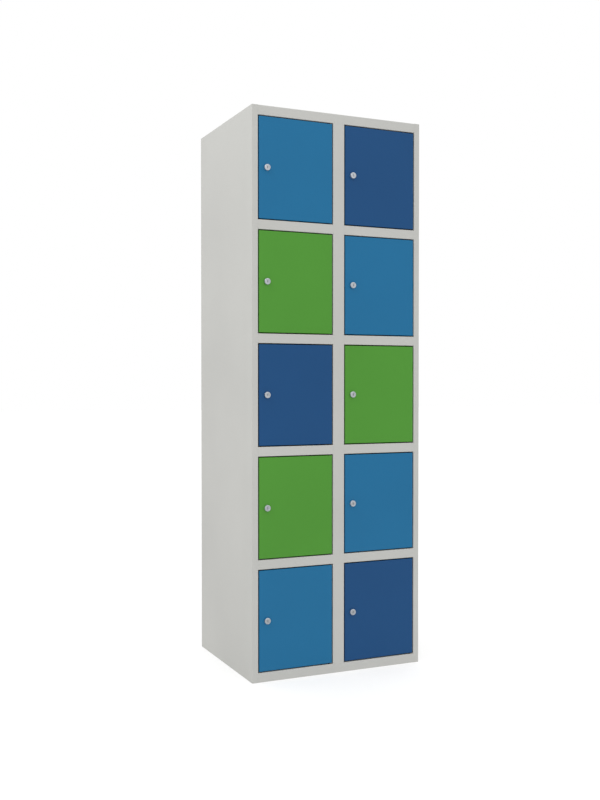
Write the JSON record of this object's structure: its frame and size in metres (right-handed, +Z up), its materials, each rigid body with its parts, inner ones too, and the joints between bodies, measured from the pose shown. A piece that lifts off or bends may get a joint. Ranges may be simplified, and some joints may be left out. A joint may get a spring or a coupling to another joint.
{
  "type": "coin operated locker",
  "caption": "Free-standing sheet-steel locker with hinged compartment doors, each closed by a coin-return lock.",
  "frame": {"origin": "on the floor, in the middle of the footprint of the cabinet and its lock noses", "axes": "+Z up, +Y from the doors to the back, +X to the right of someone facing the doors"},
  "size_m": [0.6, 0.497, 1.8],
  "materials": {
    "grey_paint": "light grey satin powder coat",
    "blue_paint": "mid blue satin powder coat",
    "green_paint": "leaf green satin powder coat",
    "navy_paint": "dark blue satin powder coat",
    "zinc": "nickel-plated die-cast zinc, satin",
    "steel": "zinc-plated steel, satin",
    "black_steel": "black-oxide steel, oiled",
    "brass": "stamped brass, bare",
    "rubber": "black moulded rubber, matt"
  },
  "bodies": {
    "cabinet": {"left_side_panel": "grey_paint", "right_side_panel": "grey_paint", "centre_partition": "grey_paint", "centre_stile": "grey_paint", "back_panel": "grey_paint", "top_panel": "grey_paint", "bottom_panel": "grey_paint", "shelf_left_1": "grey_paint", "shelf_left_2": "grey_paint", "shelf_left_3": "grey_paint", "shelf_left_4": "grey_paint", "shelf_right_1": "grey_paint", "shelf_right_2": "grey_paint", "shelf_right_3": "grey_paint", "shelf_right_4": "grey_paint", "hinge_pins": "black_steel", "door_buffers": "rubber"},
    "door_left_1": {"door_panel_left_1": "blue_paint", "lock_case_left_1": "zinc"},
    "plug_left_1": {"lock_plug_left_1": "steel"},
    "gate_left_1": {"coin_gate_left_1": "brass"},
    "door_left_2": {"door_panel_left_2": "green_paint", "lock_case_left_2": "zinc"},
    "plug_left_2": {"lock_plug_left_2": "steel"},
    "gate_left_2": {"coin_gate_left_2": "brass"},
    "door_left_3": {"door_panel_left_3": "navy_paint", "lock_case_left_3": "zinc"},
    "plug_left_3": {"lock_plug_left_3": "steel"},
    "gate_left_3": {"coin_gate_left_3": "brass"},
    "door_left_4": {"door_panel_left_4": "green_paint", "lock_case_left_4": "zinc"},
    "plug_left_4": {"lock_plug_left_4": "steel"},
    "gate_left_4": {"coin_gate_left_4": "brass"},
    "door_left_5": {"door_panel_left_5": "blue_paint", "lock_case_left_5": "zinc"},
    "plug_left_5": {"lock_plug_left_5": "steel"},
    "gate_left_5": {"coin_gate_left_5": "brass"},
    "door_right_1": {"door_panel_right_1": "navy_paint", "lock_case_right_1": "zinc"},
    "plug_right_1": {"lock_plug_right_1": "steel"},
    "gate_right_1": {"coin_gate_right_1": "brass"},
    "door_right_2": {"door_panel_right_2": "blue_paint", "lock_case_right_2": "zinc"},
    "plug_right_2": {"lock_plug_right_2": "steel"},
    "gate_right_2": {"coin_gate_right_2": "brass"},
    "door_right_3": {"door_panel_right_3": "green_paint", "lock_case_right_3": "zinc"},
    "plug_right_3": {"lock_plug_right_3": "steel"},
    "gate_right_3": {"coin_gate_right_3": "brass"},
    "door_right_4": {"door_panel_right_4": "blue_paint", "lock_case_right_4": "zinc"},
    "plug_right_4": {"lock_plug_right_4": "steel"},
    "gate_right_4": {"coin_gate_right_4": "brass"},
    "door_right_5": {"door_panel_right_5": "navy_paint", "lock_case_right_5": "zinc"},
    "plug_right_5": {"lock_plug_right_5": "steel"},
    "gate_right_5": {"coin_gate_right_5": "brass"}
  },
  "joints": [
    {"name": "door_left_1_hinge", "type": "hinge", "parent": "cabinet", "child": "door_left_1", "pos_m": [-0.0315, -0.2355, 1.608], "axis": [0, 0, 1], "range_deg": [0, 105]},
    {"name": "plug_left_1_turn", "type": "hinge", "parent": "door_left_1", "child": "plug_left_1", "pos_m": [-0.25, -0.2415, 1.608], "axis": [0, 1, 0], "range_deg": [0, 90]},
    {"name": "gate_left_1_slide", "type": "slide", "parent": "door_left_1", "child": "gate_left_1", "axis": [1, 0, 0], "range_m": [0, 0.01556]},
    {"name": "door_left_2_hinge", "type": "hinge", "parent": "cabinet", "child": "door_left_2", "pos_m": [-0.0315, -0.2355, 1.254], "axis": [0, 0, 1], "range_deg": [0, 105]},
    {"name": "plug_left_2_turn", "type": "hinge", "parent": "door_left_2", "child": "plug_left_2", "pos_m": [-0.25, -0.2415, 1.254], "axis": [0, 1, 0], "range_deg": [0, 90]},
    {"name": "gate_left_2_slide", "type": "slide", "parent": "door_left_2", "child": "gate_left_2", "axis": [1, 0, 0], "range_m": [0, 0.01556]},
    {"name": "door_left_3_hinge", "type": "hinge", "parent": "cabinet", "child": "door_left_3", "pos_m": [-0.0315, -0.2355, 0.9], "axis": [0, 0, 1], "range_deg": [0, 105]},
    {"name": "plug_left_3_turn", "type": "hinge", "parent": "door_left_3", "child": "plug_left_3", "pos_m": [-0.25, -0.2415, 0.9], "axis": [0, 1, 0], "range_deg": [0, 90]},
    {"name": "gate_left_3_slide", "type": "slide", "parent": "door_left_3", "child": "gate_left_3", "axis": [1, 0, 0], "range_m": [0, 0.01556]},
    {"name": "door_left_4_hinge", "type": "hinge", "parent": "cabinet", "child": "door_left_4", "pos_m": [-0.0315, -0.2355, 0.546], "axis": [0, 0, 1], "range_deg": [0, 105]},
    {"name": "plug_left_4_turn", "type": "hinge", "parent": "door_left_4", "child": "plug_left_4", "pos_m": [-0.25, -0.2415, 0.546], "axis": [0, 1, 0], "range_deg": [0, 90]},
    {"name": "gate_left_4_slide", "type": "slide", "parent": "door_left_4", "child": "gate_left_4", "axis": [1, 0, 0], "range_m": [0, 0.01556]},
    {"name": "door_left_5_hinge", "type": "hinge", "parent": "cabinet", "child": "door_left_5", "pos_m": [-0.0315, -0.2355, 0.192], "axis": [0, 0, 1], "range_deg": [0, 105]},
    {"name": "plug_left_5_turn", "type": "hinge", "parent": "door_left_5", "child": "plug_left_5", "pos_m": [-0.25, -0.2415, 0.192], "axis": [0, 1, 0], "range_deg": [0, 90]},
    {"name": "gate_left_5_slide", "type": "slide", "parent": "door_left_5", "child": "gate_left_5", "axis": [1, 0, 0], "range_m": [0, 0.01556]},
    {"name": "door_right_1_hinge", "type": "hinge", "parent": "cabinet", "child": "door_right_1", "pos_m": [0.2685, -0.2355, 1.608], "axis": [0, 0, 1], "range_deg": [0, 105]},
    {"name": "plug_right_1_turn", "type": "hinge", "parent": "door_right_1", "child": "plug_right_1", "pos_m": [0.05, -0.2415, 1.608], "axis": [0, 1, 0], "range_deg": [0, 90]},
    {"name": "gate_right_1_slide", "type": "slide", "parent": "door_right_1", "child": "gate_right_1", "axis": [1, 0, 0], "range_m": [0, 0.01556]},
    {"name": "door_right_2_hinge", "type": "hinge", "parent": "cabinet", "child": "door_right_2", "pos_m": [0.2685, -0.2355, 1.254], "axis": [0, 0, 1], "range_deg": [0, 105]},
    {"name": "plug_right_2_turn", "type": "hinge", "parent": "door_right_2", "child": "plug_right_2", "pos_m": [0.05, -0.2415, 1.254], "axis": [0, 1, 0], "range_deg": [0, 90]},
    {"name": "gate_right_2_slide", "type": "slide", "parent": "door_right_2", "child": "gate_right_2", "axis": [1, 0, 0], "range_m": [0, 0.01556]},
    {"name": "door_right_3_hinge", "type": "hinge", "parent": "cabinet", "child": "door_right_3", "pos_m": [0.2685, -0.2355, 0.9], "axis": [0, 0, 1], "range_deg": [0, 105]},
    {"name": "plug_right_3_turn", "type": "hinge", "parent": "door_right_3", "child": "plug_right_3", "pos_m": [0.05, -0.2415, 0.9], "axis": [0, 1, 0], "range_deg": [0, 90]},
    {"name": "gate_right_3_slide", "type": "slide", "parent": "door_right_3", "child": "gate_right_3", "axis": [1, 0, 0], "range_m": [0, 0.01556]},
    {"name": "door_right_4_hinge", "type": "hinge", "parent": "cabinet", "child": "door_right_4", "pos_m": [0.2685, -0.2355, 0.546], "axis": [0, 0, 1], "range_deg": [0, 105]},
    {"name": "plug_right_4_turn", "type": "hinge", "parent": "door_right_4", "child": "plug_right_4", "pos_m": [0.05, -0.2415, 0.546], "axis": [0, 1, 0], "range_deg": [0, 90]},
    {"name": "gate_right_4_slide", "type": "slide", "parent": "door_right_4", "child": "gate_right_4", "axis": [1, 0, 0], "range_m": [0, 0.01556]},
    {"name": "door_right_5_hinge", "type": "hinge", "parent": "cabinet", "child": "door_right_5", "pos_m": [0.2685, -0.2355, 0.192], "axis": [0, 0, 1], "range_deg": [0, 105]},
    {"name": "plug_right_5_turn", "type": "hinge", "parent": "door_right_5", "child": "plug_right_5", "pos_m": [0.05, -0.2415, 0.192], "axis": [0, 1, 0], "range_deg": [0, 90]},
    {"name": "gate_right_5_slide", "type": "slide", "parent": "door_right_5", "child": "gate_right_5", "axis": [1, 0, 0], "range_m": [0, 0.01556]}
  ],
  "couplings": [
    {"joint": "gate_left_1_slide", "follows": "plug_left_1_turn", "m_per_rad": 0.009903},
    {"joint": "gate_left_2_slide", "follows": "plug_left_2_turn", "m_per_rad": 0.009903},
    {"joint": "gate_left_3_slide", "follows": "plug_left_3_turn", "m_per_rad": 0.009903},
    {"joint": "gate_left_4_slide", "follows": "plug_left_4_turn", "m_per_rad": 0.009903},
    {"joint": "gate_left_5_slide", "follows": "plug_left_5_turn", "m_per_rad": 0.009903},
    {"joint": "gate_right_1_slide", "follows": "plug_right_1_turn", "m_per_rad": 0.009903},
    {"joint": "gate_right_2_slide", "follows": "plug_right_2_turn", "m_per_rad": 0.009903},
    {"joint": "gate_right_3_slide", "follows": "plug_right_3_turn", "m_per_rad": 0.009903},
    {"joint": "gate_right_4_slide", "follows": "plug_right_4_turn", "m_per_rad": 0.009903},
    {"joint": "gate_right_5_slide", "follows": "plug_right_5_turn", "m_per_rad": 0.009903}
  ]
}
